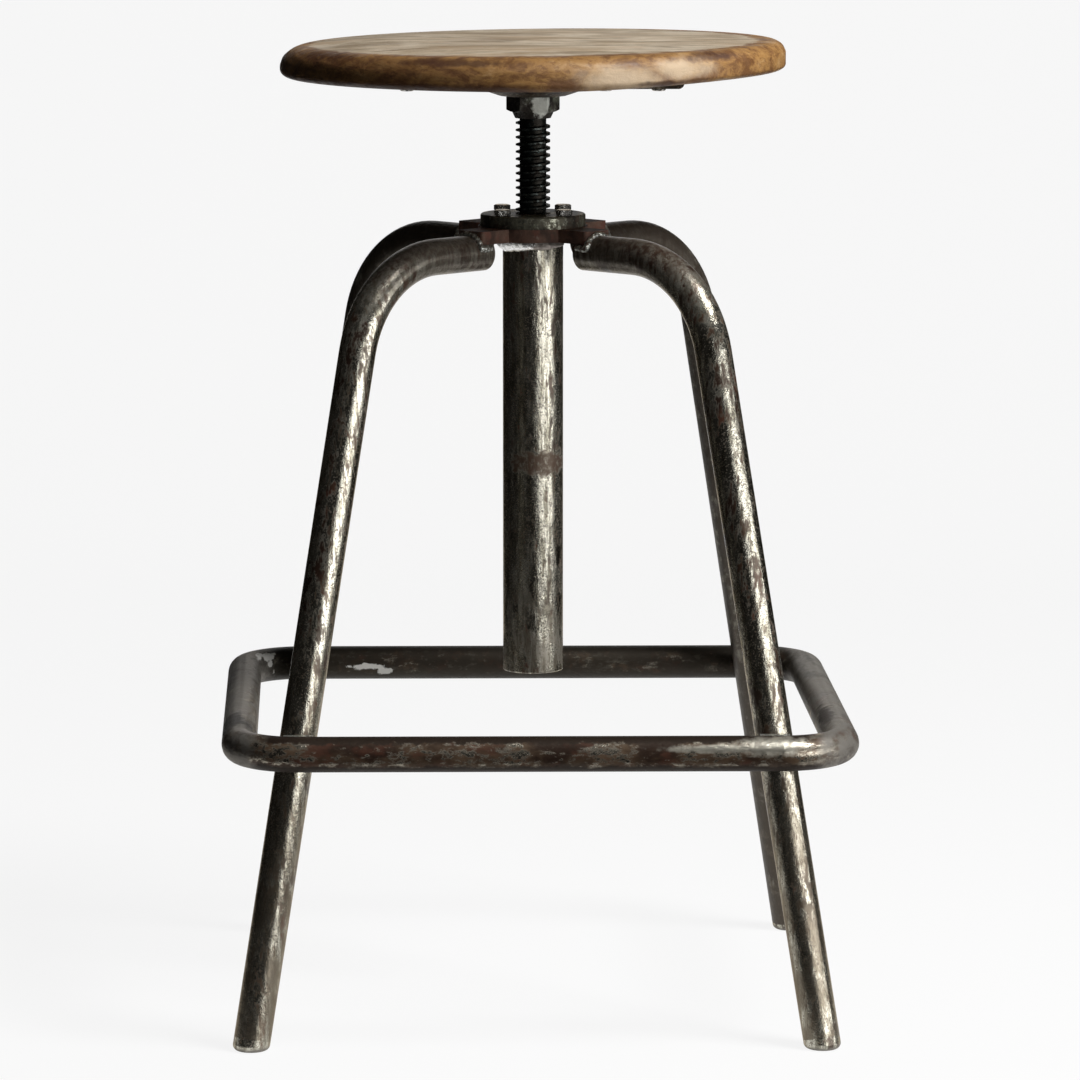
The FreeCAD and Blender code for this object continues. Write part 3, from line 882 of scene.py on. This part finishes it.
def makeStage(settings):
    # A floor that curves up through a quarter circle into a backdrop, as one strip
    bend = settings["bend"]
    turn = np.linspace(0, math.pi / 2, 17)
    curve = settings["back"] - bend + bend * np.sin(turn)
    depth = np.concatenate([[settings["front"]], curve, [settings["back"]]])
    rise = np.concatenate([[0.0], bend - bend * np.cos(turn), [settings["height"]]])
    half = settings["width"] / 2
    points = np.concatenate([np.stack([np.full(len(depth), side), depth, rise], 1) for side in (-half, half)])
    i = np.arange(len(depth) - 1)
    faces = np.stack([i, i + len(depth), i + len(depth) + 1, i + 1], 1)
    floor = newPiece("floor", points, faces.tolist())

    material, tree = newMaterial("floorPaint")[:2]
    tree.nodes.clear()
    paint = tree.nodes.new("ShaderNodeBsdfDiffuse")
    put(tree, paint.inputs["Color"], settings["colour"])
    glow = tree.nodes.new("ShaderNodeEmission")
    put(tree, glow.inputs["Color"], (1.0, 1.0, 1.0))
    glow.inputs["Strength"].default_value = 1.0
    rays = tree.nodes.new("ShaderNodeLightPath")
    seen = calc(tree, "MAXIMUM", rays.outputs["Is Camera Ray"], rays.outputs["Is Glossy Ray"])
    seen = calc(tree, "MAXIMUM", seen, rays.outputs["Is Transmission Ray"])
    glowing = calc(tree, "MULTIPLY", seen, settings["glow"])
    lit = mixShader(tree, glowing, paint.outputs["BSDF"], glow.outputs["Emission"])
    # The wall is clear from behind, so that it never hides the stool
    clear = tree.nodes.new("ShaderNodeBsdfTransparent")
    behind = tree.nodes.new("ShaderNodeNewGeometry").outputs["Backfacing"]
    output = tree.nodes.new("ShaderNodeOutputMaterial")
    tree.links.new(mixShader(tree, behind, lit, clear.outputs["BSDF"]), output.inputs["Surface"])
    floor.data.materials.append(material)


makeStage(stageSet)

lamps = {
    "windowLamp": {"from": (1.72, -1.37, 0.45), "towards": (0, 0, 0.45), "size": (2.20, 0.88), "power": 26},
    "highLamp": {"from": (1.15, -0.70, 2.25), "towards": (0, 0, 0.5), "size": (0.8, 0.8), "power": 47},
    "frontLamp": {"from": (0.0, -2.4, 2.3), "towards": (0, 0, 0.4), "size": (2.0, 1.0), "power": 1.6},
}

for name, settings in lamps.items():
    lamp = bpy.data.lights.new(name, "AREA")
    lamp.shape = "RECTANGLE"
    lamp.size, lamp.size_y = settings["size"]
    lamp.energy = settings["power"]
    holder = bpy.data.objects.new(name, lamp)
    holder.location = settings["from"]
    aim = Vector(settings["towards"]) - Vector(settings["from"])
    holder.rotation_euler = aim.to_track_quat("-Z", "Y").to_euler()
    scene.collection.objects.link(holder)

roomColour = (0.016, 0.015, 0.014)  # almost dark, because the real metal reflects a dark room

world = bpy.data.worlds.new("room")
world.use_nodes = True
room = world.node_tree.nodes["Background"]
room.inputs["Color"].default_value = (*roomColour, 1.0)
room.inputs["Strength"].default_value = 1.0
scene.world = world
print("floor, lamps and camera set")
